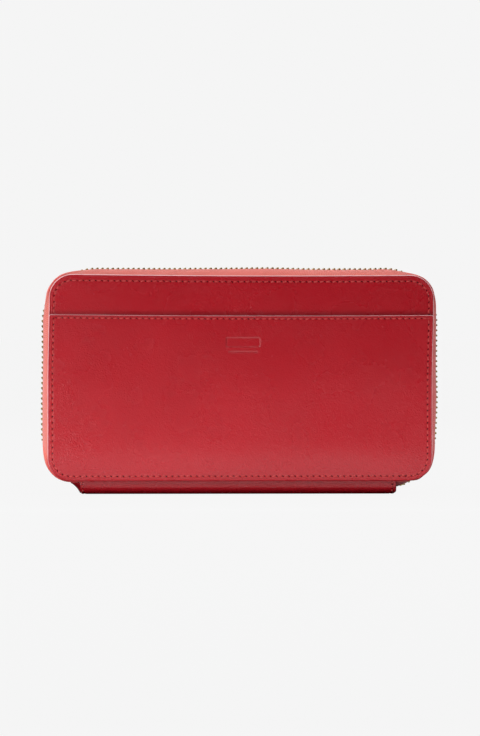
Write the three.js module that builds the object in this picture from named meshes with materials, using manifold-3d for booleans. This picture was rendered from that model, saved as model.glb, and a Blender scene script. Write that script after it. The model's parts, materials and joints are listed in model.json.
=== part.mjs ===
// Zip-around travel wallet in red leather, closed and standing on its spine.
//
// Two stiffened covers are joined along the bottom by a U-shaped leather spine and closed on the
// other three sides by one long metal zip. The front cover carries an outside slip pocket and, on
// its inside, four rows of card pockets. The back cover carries a note pocket and a coin pocket
// with a zip of its own.
//
// Millimetres. +X runs along the spine to the right, +Y from the front cover to the back cover,
// +Z up. The origin is the middle of the face that the spine stands on.

import * as THREE from "three";
import { mergeVertices } from "three/addons/utils/BufferGeometryUtils.js";
import Module from "manifold-3d";

// ---------------------------------------------------------------- driving dimensions

const COVER = { halfWidth: 97.4, bottom: 6.7, top: 110.8, radius: 12 };
const SLIP_POCKET_TOP = 90.4;

// How far each layer of a cover lies from the wallet's middle plane, [near, far].
const LAYER = {
  slipPocket: [12, 13.2],
  leather: [10.9, 12],
  board: [10.05, 10.85],
  tapeHem: [10.15, 10.75],
  lining: [9.2, 10],
};
const BOARD_INSET = 7.5;
const LINING_INSET = 2;

const SPINE = { left: -80.6, right: 78.8, halfWidth: 10.2, height: 6.2, radius: 4, leather: 1.1, lining: 0.6 };
const GLUE_LINE = 0.05;

// The rim is where a zip tape leaves its cover; the chain is the line where the two tapes meet.
const RIM = { halfWidth: 96.4, bottom: 7.7, top: 109.8, radius: 11 };
const CHAIN = { halfWidth: 99.1, top: 113, topRadius: 27 };
const CHAIN_RIGHT_END = { x: 79.3, z: 4.3, slopeDeg: 23, radius: 28 };
const CHAIN_LEFT_END = { x: -76, z: 7.4, slopeDeg: -30, radius: 16 };
const TAPE = { thickness: 0.6, hem: 6, rimTo: 9.1, flatFrom: 5.3, chainEdge: 3 };
const TEETH = { pitch: 2.6, width: 1, thickness: 2.4, back: 2.7, root: 1.7, reach: 0.4 };

const SLIDER = {
  length: 13, frontWidth: 9.2, rearWidth: 7.6, plate: 0.9, gap: 3, flange: 0.8, tapeSlot: 1.2,
};
const SLIDER_FROM_END = 10.5;
const FIRST_TOOTH = 5;
const STOP = { length: 2, thickness: 2.6, gap: 0.8, reach: 2.9 };
const CROWN = { length: 7.4, width: 2, rise: 2.2, wall: 0.7 };
const PULL = { length: 13, width: 6, thickness: 1, slotWidth: 2.8, bar: 1, pivotAhead: 2.2, lift: 0.25 };

const CARD_POCKET_TOPS = [94, 82, 70, 58];
const POCKET = { halfWidth: 90, bottom: 13, radius: 24, topRadius: 3, thickness: 0.7 };
const COIN = {
  zipZ: 78, window: 4.6, panel: [5.6, 6.4], headerTop: 101, tape: [6.5, 6.9], tapeHeight: 11,
  coil: [5.2, 6.4], coilHeight: 1.9, halfLength: 80, notePocket: [8.3, 9.1], notePocketTop: 104,
};
const COIN_SLIDER = { length: 9, width: 7, plate: 0.8, outerY: 4, innerY: 7.2, restX: -71 };

// ---------------------------------------------------------------- materials

const material = (color, roughness, metalness = 0) =>
  new THREE.MeshStandardMaterial({ color, roughness, metalness });
const leather = material(0xa8202c, 0.42);
const liningLeather = material(0x8e1a25, 0.6);
const tapeCloth = material(0xd6423f, 0.85);
const board = material(0xb9a27e, 0.9);
const brass = material(0xa98d45, 0.35, 1);

// ---------------------------------------------------------------- placing helpers

const wallet = new THREE.Group();

// Adds a mesh under a name, to a group or to the wallet itself.
function add(name, geometry, surface, parent = wallet) {
  const mesh = new THREE.Mesh(geometry, surface);
  mesh.name = name;
  parent.add(mesh);
  return mesh;
}

// A flat sheet drawn in X and Z and standing upright between two values of Y.
function sheet(name, shape, nearY, farY, surface, curveSegments = 8) {
  const depth = farY - nearY;
  const geometry = new THREE.ExtrudeGeometry(shape, { depth, bevelEnabled: false, curveSegments });
  const mesh = add(name, geometry, surface);
  mesh.rotation.x = Math.PI / 2; // the extrusion then runs towards -Y
  mesh.position.y = farY;
  return mesh;
}

// A profile drawn in Y and Z and run along X between two values.
function bar(name, shape, fromX, toX, surface) {
  const geometry = new THREE.ExtrudeGeometry(shape, { depth: toX - fromX, bevelEnabled: false, curveSegments: 6 });
  const mesh = add(name, geometry, surface);
  const [x, y, z] = [new THREE.Vector3(1, 0, 0), new THREE.Vector3(0, 1, 0), new THREE.Vector3(0, 0, 1)];
  mesh.quaternion.setFromRotationMatrix(new THREE.Matrix4().makeBasis(y, z, x));
  mesh.position.x = fromX;
  return mesh;
}

// A rectangle with its own radius at the two bottom and the two top corners.
function roundedRectangle(halfWidth, bottom, top, bottomRadius, topRadius) {
  const shape = new THREE.Shape();
  shape.moveTo(-halfWidth + bottomRadius, bottom);
  shape.lineTo(halfWidth - bottomRadius, bottom);
  shape.absarc(halfWidth - bottomRadius, bottom + bottomRadius, bottomRadius, -Math.PI / 2, 0);
  if (topRadius > 0) {
    shape.lineTo(halfWidth, top - topRadius);
    shape.absarc(halfWidth - topRadius, top - topRadius, topRadius, 0, Math.PI / 2);
    shape.lineTo(-halfWidth + topRadius, top);
    shape.absarc(-halfWidth + topRadius, top - topRadius, topRadius, Math.PI / 2, Math.PI);
  } else {
    shape.lineTo(halfWidth, top);
    shape.lineTo(-halfWidth, top);
  }
  shape.lineTo(-halfWidth, bottom + bottomRadius);
  shape.absarc(-halfWidth + bottomRadius, bottom + bottomRadius, bottomRadius, Math.PI, 1.5 * Math.PI);
  return shape;
}

const coverShape = (inset) =>
  roundedRectangle(
    COVER.halfWidth - inset, COVER.bottom + inset, COVER.top - inset,
    COVER.radius - inset, COVER.radius - inset,
  );

// ---------------------------------------------------------------- covers

// The layers that both covers share. side is -1 for the front cover and +1 for the back one.
function coverLayers(prefix, side) {
  const between = ([near, far]) => (side < 0 ? [-far, -near] : [near, far]);
  sheet(`${prefix}_outer_leather`, coverShape(0), ...between(LAYER.leather), leather);
  sheet(`${prefix}_board`, coverShape(BOARD_INSET), ...between(LAYER.board), board);
  sheet(`${prefix}_lining`, coverShape(LINING_INSET), ...between(LAYER.lining), liningLeather);
}

function slipPocket() {
  const shape = roundedRectangle(COVER.halfWidth, COVER.bottom, SLIP_POCKET_TOP, COVER.radius, 0);
  sheet("front_slip_pocket", shape, -LAYER.slipPocket[1], -LAYER.slipPocket[0], leather);
}

// Card pockets lie on the front lining, each one lower and nearer the middle than the last.
function cardPockets() {
  CARD_POCKET_TOPS.forEach((top, row) => {
    const far = -(LAYER.lining[0] - GLUE_LINE) + row * (POCKET.thickness + GLUE_LINE);
    const shape = roundedRectangle(POCKET.halfWidth, POCKET.bottom, top, POCKET.radius, POCKET.topRadius);
    sheet(`card_pocket_${row + 1}`, shape, far, far + POCKET.thickness, liningLeather, 5);
  });
}

// ---------------------------------------------------------------- spine

// A U drawn in Y and Z: its outer face lies at the given distance inside the spine's outer face.
function spineProfile(inset, thickness) {
  const shape = new THREE.Shape();
  const trace = (offset, reversed) => {
    const [half, radius] = [SPINE.halfWidth - offset, SPINE.radius - offset];
    const [centreY, centreZ] = [half - radius, offset + radius];
    if (reversed) {
      shape.lineTo(half, SPINE.height);
      shape.absarc(centreY, centreZ, radius, 0, -Math.PI / 2, true);
      shape.absarc(-centreY, centreZ, radius, -Math.PI / 2, -Math.PI, true);
      shape.lineTo(-half, SPINE.height);
    } else {
      shape.moveTo(-half, SPINE.height);
      shape.lineTo(-half, centreZ);
      shape.absarc(-centreY, centreZ, radius, Math.PI, 1.5 * Math.PI);
      shape.absarc(centreY, centreZ, radius, 1.5 * Math.PI, 2 * Math.PI);
      shape.lineTo(half, SPINE.height);
    }
  };
  trace(inset, false);
  trace(inset + thickness, true);
  shape.closePath();
  return shape;
}

function spine() {
  const { left, right, leather: skin, lining } = SPINE;
  bar("spine_leather", spineProfile(0, skin), left, right, leather);
  bar("spine_lining", spineProfile(skin + GLUE_LINE, lining), left, right, liningLeather);
}

// A soft tab that closes the spine's left end, from its underside up to the covers' edge.
function spineEndTab() {
  const [halfWidth, thickness, tipX, tipZ, steps] = [8, 0.6, -85.2, 5.4, 10];
  const [mouthX, floorZ] = [SPINE.left - 0.6, 0.4];
  const stations = [];
  for (let i = 0; i <= steps; i++) {
    const y = halfWidth * ((2 * i) / steps - 1);
    const rise = (tipZ - floorZ) * Math.pow(Math.abs(y) / halfWidth, 3);
    const mouth = new THREE.Vector3(mouthX, y, floorZ + rise);
    const tip = new THREE.Vector3(tipX, y, tipZ + 0.4);
    const up = new THREE.Vector3(thickness * 0.7, 0, thickness * 0.7);
    stations.push({ outer: [mouth, tip], inner: [mouth.clone().add(up), tip.clone().add(up)] });
  }
  add("spine_end_tab", stripLoft(stations), leather);
}

// ---------------------------------------------------------------- zip tracks

// A track in X and Z that runs right end, right side, top, left side, left end, with each corner
// rounded. Its curves alternate line, arc, line, and so on, so that two tracks match piece by piece.
function roundedTrack(vertices) {
  const track = new THREE.CurvePath();
  let from = vertices[0].point;
  vertices.slice(1, -1).forEach(({ point, radius }, i) => {
    const inward = point.clone().sub(vertices[i].point).normalize();
    const outward = vertices[i + 2].point.clone().sub(point).normalize();
    const turn = Math.acos(inward.dot(outward));
    const reach = radius * Math.tan(turn / 2);
    const start = point.clone().addScaledVector(inward, -reach);
    const centre = start.clone().add(new THREE.Vector2(-inward.y, inward.x).multiplyScalar(radius));
    const angle = Math.atan2(start.y - centre.y, start.x - centre.x);
    track.add(new THREE.LineCurve(from, start));
    track.add(new THREE.EllipseCurve(centre.x, centre.y, radius, radius, angle, angle + turn, false, 0));
    from = point.clone().addScaledVector(outward, reach);
  });
  track.add(new THREE.LineCurve(from, vertices.at(-1).point));
  return track;
}

const corner = (x, z, radius = 0) => ({ point: new THREE.Vector2(x, z), radius });

const rimTrack = roundedTrack([
  corner(CHAIN_RIGHT_END.x, RIM.bottom),
  corner(RIM.halfWidth, RIM.bottom, RIM.radius),
  corner(RIM.halfWidth, RIM.top, RIM.radius),
  corner(-RIM.halfWidth, RIM.top, RIM.radius),
  corner(-RIM.halfWidth, RIM.bottom, RIM.radius),
  corner(CHAIN_LEFT_END.x, RIM.bottom),
]);

// At both ends the chain slopes in from the side towards the spine's mouth.
const sideCorner = ({ x, z, slopeDeg, radius }, sideX) =>
  corner(sideX, z + (sideX - x) * Math.tan(THREE.MathUtils.degToRad(slopeDeg)), radius);
const chainTrack = roundedTrack([
  corner(CHAIN_RIGHT_END.x, CHAIN_RIGHT_END.z),
  sideCorner(CHAIN_RIGHT_END, CHAIN.halfWidth),
  corner(CHAIN.halfWidth, CHAIN.top, CHAIN.topRadius),
  corner(-CHAIN.halfWidth, CHAIN.top, CHAIN.topRadius),
  sideCorner(CHAIN_LEFT_END, -CHAIN.halfWidth),
  corner(CHAIN_LEFT_END.x, CHAIN_LEFT_END.z),
]);

// A point of a track, and the direction there that points away from the wallet, as [x, z] vectors.
function onCurve(curve, t) {
  const point = curve.getPoint(t);
  const tangent = curve.getTangent(t).normalize();
  return { point, outward: new THREE.Vector2(tangent.y, -tangent.x) };
}

// The point at a distance out from a track place, at a given Y.
const outFrom = ({ point, outward }, distance, y) =>
  new THREE.Vector3(point.x + outward.x * distance, y, point.y + outward.y * distance);

// ---------------------------------------------------------------- closed surfaces

// Collects four-sided faces and turns them into a geometry. Corners run anticlockwise from outside.
function faceCollector() {
  const positions = [];
  const quad = (a, b, c, d) => [a, b, c, a, c, d].forEach((v) => positions.push(v.x, v.y, v.z));
  const finish = () => {
    const geometry = new THREE.BufferGeometry();
    geometry.setAttribute("position", new THREE.Float32BufferAttribute(positions, 3));
    geometry.computeVertexNormals();
    return geometry;
  };
  return { quad, finish };
}

// A thin strip whose cross-section at each station runs along its outer points and back along its
// inner ones.
function stripLoft(stations) {
  const { quad, finish } = faceCollector();
  const last = stations[0].outer.length - 1;
  const cap = ({ outer, inner }, flip) => {
    for (let k = 0; k < last; k++) {
      if (flip) quad(outer[k + 1], outer[k], inner[k], inner[k + 1]);
      else quad(outer[k], outer[k + 1], inner[k + 1], inner[k]);
    }
  };
  cap(stations[0], true);
  cap(stations.at(-1), false);
  for (let i = 0; i + 1 < stations.length; i++) {
    const [a, b] = [stations[i], stations[i + 1]];
    for (let k = 0; k < last; k++) {
      quad(a.outer[k + 1], b.outer[k + 1], b.outer[k], a.outer[k]);
      quad(a.inner[k], b.inner[k], b.inner[k + 1], a.inner[k + 1]);
    }
    quad(a.outer[0], b.outer[0], b.inner[0], a.inner[0]);
    quad(a.inner[last], b.inner[last], b.outer[last], a.outer[last]);
  }
  return finish();
}

// One zip tape, for the front cover: a hem sewn in behind the leather, then a wall from the rim out
// to the chain.
function tapeGeometry() {
  const stations = [];
  const half = TAPE.thickness / 2;
  const [nearHem, farHem] = LAYER.tapeHem;
  rimTrack.curves.forEach((rimCurve, piece) => {
    const steps = piece % 2 ? 8 : 3;
    for (let i = piece ? 1 : 0; i <= steps; i++) {
      const rim = onCurve(rimCurve, i / steps);
      const chain = onCurve(chainTrack.curves[piece], i / steps);
      stations.push({
        outer: [outFrom(rim, -TAPE.hem, -farHem), outFrom(rim, 0, -farHem), outFrom(rim, 0, -TAPE.rimTo),
          outFrom(chain, half, -TAPE.flatFrom), outFrom(chain, half, -TAPE.chainEdge)],
        inner: [outFrom(rim, -TAPE.hem, -nearHem), outFrom(rim, -TAPE.thickness, -nearHem),
          outFrom(rim, -TAPE.thickness, -TAPE.rimTo), outFrom(chain, -half, -TAPE.flatFrom), outFrom(chain, -half, -TAPE.chainEdge)],
      });
    }
  });
  return stripLoft(stations);
}

// One side's teeth, for the front tape: a row of teeth standing on the bead that they are clamped to.
// firstTooth is the distance along the chain to the first tooth, and end is where the row stops.
function teethGeometry(firstTooth, end) {
  const { quad, finish } = faceCollector();
  const length = chainTrack.getLength();
  const half = TEETH.thickness / 2;
  const place = (s) => {
    const t = s / length;
    const tangent = chainTrack.getTangent(t).normalize();
    const at = { point: chainTrack.getPoint(t), outward: new THREE.Vector2(tangent.y, -tangent.x) };
    const level = (y) => ({ out: outFrom(at, half, y), in: outFrom(at, -half, y) });
    return { back: level(-TEETH.back), root: level(-TEETH.root), tip: level(TEETH.reach) };
  };
  const cuts = [];
  for (let s = firstTooth; s + TEETH.width < end; s += TEETH.pitch) cuts.push(s, s + TEETH.width);
  const stops = [firstTooth - TEETH.width, ...cuts, cuts.at(-1) + TEETH.width].map(place);
  const across = (a, b, from, to) => {
    quad(a[to].out, b[to].out, b[from].out, a[from].out);
    quad(a[from].in, b[from].in, b[to].in, a[to].in);
  };
  for (let i = 0; i + 1 < stops.length; i++) {
    const [a, b] = [stops[i], stops[i + 1]];
    const isTooth = i % 2 === 1;
    const front = isTooth ? "tip" : "root";
    across(a, b, "back", "root");
    quad(a.back.out, b.back.out, b.back.in, a.back.in);
    quad(a[front].in, b[front].in, b[front].out, a[front].out);
    if (isTooth) {
      across(a, b, "root", "tip");
      quad(a.root.in, a.tip.in, a.tip.out, a.root.out);
      quad(b.tip.in, b.root.in, b.root.out, b.tip.out);
    }
  }
  const [first, last] = [stops[0], stops.at(-1)];
  quad(first.back.in, first.root.in, first.root.out, first.back.out);
  quad(last.root.in, last.back.in, last.back.out, last.root.out);
  return finish();
}

// ---------------------------------------------------------------- solids joined and cut

const wasm = await Module();
wasm.setup();

function toSolid(geometry) {
  const bare = geometry.clone();
  bare.deleteAttribute("normal");
  bare.deleteAttribute("uv");
  const merged = mergeVertices(bare, 1e-4);
  return new wasm.Manifold(new wasm.Mesh({
    numProp: 3,
    vertProperties: merged.attributes.position.array,
    triVerts: new Uint32Array(merged.index.array),
  }));
}

function toGeometry(solid) {
  const { vertProperties, triVerts } = solid.getMesh();
  const geometry = new THREE.BufferGeometry();
  geometry.setAttribute("position", new THREE.BufferAttribute(vertProperties, 3));
  geometry.setIndex(new THREE.BufferAttribute(triVerts, 1));
  geometry.computeVertexNormals();
  return geometry;
}

const join = (...geometries) => toGeometry(geometries.map(toSolid).reduce((a, b) => a.add(b)));
const cut = (from, ...tools) => toGeometry(tools.map(toSolid).reduce((a, b) => a.subtract(b), toSolid(from)));

// A box between two corners.
function block(low, high) {
  const size = high.map((h, i) => h - low[i]);
  const centre = high.map((h, i) => (h + low[i]) / 2);
  return new THREE.BoxGeometry(...size).translate(...centre);
}

// ---------------------------------------------------------------- main zip

// The slider lies along +X, its wedge end ahead, with +Z away from the wallet and the tapes to
// either side in Y.
function sliderGeometry() {
  const { length, frontWidth, rearWidth, plate, gap, flange, tapeSlot } = SLIDER;
  const [half, inner] = [length / 2, gap / 2];
  const outline = new THREE.Shape();
  outline.moveTo(-half, -rearWidth / 2);
  outline.lineTo(0, -rearWidth / 2);
  outline.lineTo(half * 0.75, -frontWidth / 2);
  outline.absarc(half * 0.75, 0, frontWidth / 2, -Math.PI / 2, Math.PI / 2, false);
  outline.lineTo(0, rearWidth / 2);
  outline.lineTo(-half, rearWidth / 2);
  const plateAt = (z) =>
    new THREE.ExtrudeGeometry(outline, { depth: plate, bevelEnabled: false, curveSegments: 8 })
      .translate(0, 0, z);
  const overlap = 0.1;
  const parts = [plateAt(inner), plateAt(-inner - plate)];
  for (const sideY of [-1, 1]) {
    for (const sideZ of [-1, 1]) {
      const ys = [sideY * (rearWidth / 2), sideY * (rearWidth / 2 - flange)].sort((a, b) => a - b);
      const zs = [sideZ * (tapeSlot / 2), sideZ * (inner + overlap)].sort((a, b) => a - b);
      parts.push(block([-half, ys[0], zs[0]], [0, ys[1], zs[1]]));
    }
  }
  parts.push(
    new THREE.CylinderGeometry(1.4, 1.4, gap + 2 * overlap, 10).rotateX(Math.PI / 2)
      .translate(half - 1.6, 0, 0),
  );
  return join(...parts);
}

// The loop on the slider's outer plate that holds the pull.
function crownGeometry() {
  const { length, width, rise, wall } = CROWN;
  const base = SLIDER.gap / 2 + SLIDER.plate + GLUE_LINE;
  const arch = block([-length / 2, -width / 2, base], [length / 2, width / 2, base + rise]);
  const hollow = block([-length / 2 + wall, -width, base - 1], [length / 2 - wall, width, base + rise - wall]);
  return cut(arch, hollow);
}

// The pull lies back over the slider from its bar, which passes through the crown.
function pullGeometry() {
  const { length, width, thickness, slotWidth, bar: barSize, pivotAhead, lift } = PULL;
  const base = SLIDER.gap / 2 + SLIDER.plate + lift;
  const [front, tipRadius] = [pivotAhead + barSize / 2, width / 2];
  const outline = new THREE.Shape();
  outline.moveTo(front, -width / 2);
  outline.lineTo(front, width / 2);
  outline.lineTo(front - length + tipRadius, width / 2);
  outline.absarc(front - length + tipRadius, 0, tipRadius, Math.PI / 2, 1.5 * Math.PI, false);
  const slot = new THREE.Path();
  const slotEnd = -CROWN.length / 2 - 0.6;
  slot.moveTo(front - barSize, -slotWidth / 2);
  slot.lineTo(slotEnd, -slotWidth / 2);
  slot.lineTo(slotEnd, slotWidth / 2);
  slot.lineTo(front - barSize, slotWidth / 2);
  outline.holes.push(slot);
  return new THREE.ExtrudeGeometry(outline, { depth: thickness, bevelEnabled: false, curveSegments: 8 })
    .translate(0, 0, base);
}

// The leaf spring under the crown that presses the slider's lock into the chain.
function lockSpringGeometry() {
  const base = SLIDER.gap / 2 + SLIDER.plate + GLUE_LINE;
  const top = base + CROWN.rise - CROWN.wall - GLUE_LINE;
  return block([-CROWN.length / 2 + CROWN.wall + 0.1, -0.7, top - 0.25], [1, 0.7, top]);
}

// A group standing on the chain, at a distance from its left end. Its +X follows the chain towards
// that end and its +Z points out of the wallet.
function onChain(fromLeftEnd) {
  const t = 1 - fromLeftEnd / chainTrack.getLength();
  const { point, outward } = onCurve(chainTrack, t);
  const [x, y, z] = [
    new THREE.Vector3(-outward.y, 0, outward.x),
    new THREE.Vector3(0, -1, 0),
    new THREE.Vector3(outward.x, 0, outward.y),
  ];
  const group = new THREE.Group();
  group.quaternion.setFromRotationMatrix(new THREE.Matrix4().makeBasis(x, y, z));
  group.position.set(point.x, 0, point.y);
  wallet.add(group);
  return group;
}

function mainZip() {
  const length = chainTrack.getLength();
  const rowEnd = length - SLIDER_FROM_END - SLIDER.length / 2 - 0.7;
  add("front_zip_tape", tapeGeometry(), tapeCloth);
  add("back_zip_tape", tapeGeometry(), tapeCloth).scale.y = -1;
  add("front_zip_teeth", teethGeometry(FIRST_TOOTH, rowEnd), brass);
  add("back_zip_teeth", teethGeometry(FIRST_TOOTH + TEETH.pitch / 2, rowEnd), brass).scale.y = -1;

  const parked = onChain(SLIDER_FROM_END);
  add("slider_body", sliderGeometry(), brass, parked);
  add("slider_crown", crownGeometry(), brass, parked);
  add("slider_lock_spring", lockSpringGeometry(), brass, parked);
  add("slider_pull", pullGeometry(), brass, parked);

  // Crimped stops: one on each tape ahead of the slider, and one across both where the zip starts.
  const ahead = onChain(SLIDER_FROM_END - SLIDER.length / 2 - 2);
  const [half, thick] = [STOP.length / 2, STOP.thickness / 2];
  const topStop = block([-half, STOP.gap / 2, -thick], [half, STOP.reach, thick]);
  add("front_top_stop", topStop, brass, ahead);
  add("back_top_stop", topStop.clone(), brass, ahead).scale.y = -1;
  const start = onChain(length - FIRST_TOOTH / 2);
  add("zip_bottom_stop", block([-half, -STOP.reach, -thick], [half, STOP.reach, thick]), brass, start);
}

// ---------------------------------------------------------------- coin pocket, on the back lining

function coinPocket() {
  const { zipZ, window: gap, panel, headerTop, tape, tapeHeight, coil, coilHeight, halfLength } = COIN;
  const rectangle = (half, bottom, top) => roundedRectangle(half, bottom, top, 1, 1);
  sheet("note_pocket", roundedRectangle(POCKET.halfWidth, POCKET.bottom, COIN.notePocketTop, POCKET.radius, 8),
    ...COIN.notePocket, liningLeather, 5);
  sheet("coin_pocket_panel",
    roundedRectangle(POCKET.halfWidth, POCKET.bottom, zipZ - gap, POCKET.radius, 1), ...panel, liningLeather, 5);
  sheet("coin_pocket_header", roundedRectangle(POCKET.halfWidth, zipZ + gap, headerTop, 1, 8),
    ...panel, liningLeather, 5);
  const seam = 0.15;
  for (const [name, side] of [["upper", 1], ["lower", -1]]) {
    const span = (from, to) => [zipZ + side * from, zipZ + side * to].sort((a, b) => a - b);
    sheet(`coin_tape_${name}`, rectangle(halfLength + 6, ...span(seam + coilHeight / 2, tapeHeight)),
      ...tape, tapeCloth, 1);
    sheet(`coin_coil_${name}`, roundedRectangle(halfLength, ...span(seam, seam + coilHeight), 0.6, 0.6),
      ...coil, brass, 2);
  }
  for (const [name, side] of [["left", -1], ["right", 1]]) {
    const xs = [side * (halfLength + 0.3), side * (halfLength + 2.3)].sort((a, b) => a - b);
    add(`coin_stop_${name}`, block([xs[0], coil[0], zipZ - 2.4], [xs[1], coil[1], zipZ + 2.4]), brass);
  }
}

// The coin zip's slider runs along X, with its crown and pull towards the middle of the wallet.
function coinSlider() {
  const { length, width, plate, outerY, innerY, restX } = COIN_SLIDER;
  const [x, z, half] = [restX, COIN.zipZ, width / 2];
  const plateAt = (y) => block([x - length / 2, y, z - half], [x + length / 2, y + plate, z + half]);
  const post = block([x + length / 2 - 1.4, outerY, z - 0.12], [x + length / 2, innerY + plate, z + 0.12]);
  add("coin_slider_body", join(plateAt(outerY), plateAt(innerY), post), brass);

  const onPlate = new THREE.Group();
  onPlate.rotation.x = Math.PI / 2; // +Z then points towards the front cover
  onPlate.position.set(x, outerY + SLIDER.gap / 2 + SLIDER.plate, z);
  wallet.add(onPlate);
  add("coin_slider_crown", crownGeometry(), brass, onPlate);
  add("coin_pull", pullGeometry(), brass, onPlate);
}

// ---------------------------------------------------------------- assembly

coverLayers("front", -1);
coverLayers("back", 1);
slipPocket();
cardPockets();
spine();
spineEndTab();
mainZip();
coinPocket();
coinSlider();

export default wallet;
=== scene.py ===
"""Red leather zip-around travel wallet, closed and standing on its spine: the looks, built round
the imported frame. Lengths are millimetres until mesh_object() turns them to metres. Only the camera,
the lights and the stage are placed in metres.
"""

import json
import math

import bpy
import numpy as np
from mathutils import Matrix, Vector


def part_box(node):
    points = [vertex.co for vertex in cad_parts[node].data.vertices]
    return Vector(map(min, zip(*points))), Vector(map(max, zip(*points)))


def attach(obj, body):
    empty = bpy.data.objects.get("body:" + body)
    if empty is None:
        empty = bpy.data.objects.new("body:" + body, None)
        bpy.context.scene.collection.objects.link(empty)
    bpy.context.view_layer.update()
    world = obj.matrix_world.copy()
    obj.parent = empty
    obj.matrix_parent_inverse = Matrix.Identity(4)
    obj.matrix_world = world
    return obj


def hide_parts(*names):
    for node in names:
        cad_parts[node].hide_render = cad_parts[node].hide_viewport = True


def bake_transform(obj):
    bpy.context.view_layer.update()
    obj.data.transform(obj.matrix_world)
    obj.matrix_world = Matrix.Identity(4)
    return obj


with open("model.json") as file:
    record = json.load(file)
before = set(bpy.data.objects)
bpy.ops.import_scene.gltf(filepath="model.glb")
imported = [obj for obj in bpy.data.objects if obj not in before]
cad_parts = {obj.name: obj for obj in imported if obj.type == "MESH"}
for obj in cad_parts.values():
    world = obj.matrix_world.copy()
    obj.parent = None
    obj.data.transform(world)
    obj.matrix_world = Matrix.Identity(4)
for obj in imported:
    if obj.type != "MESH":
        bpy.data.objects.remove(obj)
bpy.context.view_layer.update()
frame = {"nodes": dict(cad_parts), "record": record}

MM = 0.001
FRONT, BACK = -1, 1

# ---------------------------------------- sizes, from the frame


def box_mm(node):
    low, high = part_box(node)
    return np.array(low) / MM, np.array(high) / MM


COVER_LOW, COVER_HIGH = box_mm("front_outer_leather")
HALF_WIDTH, BOTTOM, TOP = COVER_HIGH[0], COVER_LOW[2], COVER_HIGH[2]
LEATHER_FACE = -COVER_LOW[1]  # how far a cover's outer face lies from the middle plane
CORNER = 12.0
NARROWED = 0.5  # what the covers' edges have drawn in by on each side
EASED_LEFT = 0.17  # how far both covers have shifted to the left
SKEW = 0.8  # how far the covers' upper halves have shifted to the right
POCKET_LOW, POCKET_HIGH = box_mm("front_slip_pocket")
POCKET_FACE, POCKET_TOP = -POCKET_LOW[1], POCKET_HIGH[2]
SPINE_LOW, SPINE_HIGH = box_mm("spine_leather")

SEAM_INSET = 2.8  # of the sewing line from the edge, before an outline's margins
COVER_MARGINS = (0.87, 0.85, 1.12, 0.86)  # left, right, top, bottom
POCKET_MARGINS = (0.87, 0.85, 0.57, 0.86)
INSIDE_SEAM = 1.8  # of the linings' and inside pockets' sewing, from the edge
GROOVE_DEPTH, GROOVE_WIDTH = 0.14, 0.42  # of the line that the thread has pulled in
CREASE_INSET, CREASE_DEPTH, CREASE_WIDTH = 1.2, 0.13, 0.2  # of the line creased along an edge
STITCH = 3.1
TOOTH_PITCH = 2.6


# ---------------------------------------- camera, lights and floor


def look_at(obj, target):
    obj.rotation_mode = "QUATERNION"
    direction = Vector(target) - obj.location
    obj.rotation_quaternion = direction.to_track_quat("-Z", "Y")


def make_camera():
    """A long lens, a little to the left of the wallet and level with its top."""
    data = bpy.data.cameras.new("camera")
    camera = bpy.data.objects.new("camera", data)
    bpy.context.scene.collection.objects.link(camera)
    distance, azimuth, elevation = 3.0, math.radians(-2.0), math.radians(1)
    target = Vector((-0.0002, -0.012, 0.0636))
    level = math.cos(elevation)
    back = Vector((math.sin(azimuth) * level, -math.cos(azimuth) * level, math.sin(elevation)))
    camera.location = target + back * distance
    look_at(camera, target)
    data.sensor_width = 36
    data.lens = data.sensor_width * distance / 0.3706  # metres along the picture's long side
    data.clip_end = 40
    data.dof.use_dof = False
    bpy.context.scene.camera = camera


def area_light(name, place, target, size, watts):
    data = bpy.data.lights.new(name, "AREA")
    data.shape, data.size, data.size_y = "RECTANGLE", size[0], size[1]
    data.energy = watts
    light = bpy.data.objects.new(name, data)
    bpy.context.scene.collection.objects.link(light)
    light.location = place
    look_at(light, target)
    light.visible_camera = False


WORLD_STRENGTH = 0.5
LIGHTS = (  # name, place, what it faces, size, watts
    ("key", (-0.85, -0.75, 0.75), (0, 0, 0.05), (0.8, 0.6), 8.5),
    ("right_key", (0.85, -0.75, 0.7), (0, 0, 0.05), (0.8, 0.6), 4.0),
    ("low_left", (-0.36, -0.28, 0.022), (-0.03, 0, 0.015), (0.3, 0.04), 0.5),
    ("low_strip", (-0.02, -0.22, 0.016), (-0.02, 0, 0.012), (0.4, 0.03), 0.07),
    ("left_card", (-0.15, -0.3, 0.14), (-0.06, 0, 0.09), (0.08, 0.12), 0.02),
    ("foot", (0, -0.04, 0.001), (0, -0.04, 1), (0.5, 0.04), 0.09),
    ("near_floor", (0, -0.09, 0.001), (0, -0.09, 1), (0.5, 0.06), 0.14),
    ("overhead", (0, -0.1, 0.9), (0, 0, 0.06), (0.7, 0.3), 1.5),
    ("back_left", (-0.7, 0.9, 0.6), (0, 0, 0.06), (0.7, 0.7), 5.0),
    ("back_right", (0.8, 0.8, 0.5), (0, 0, 0.06), (0.7, 0.7), 4.0),
)


def make_lights():
    for name, place, target, size, watts in LIGHTS:
        area_light(name, place, target, size, watts)


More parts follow.
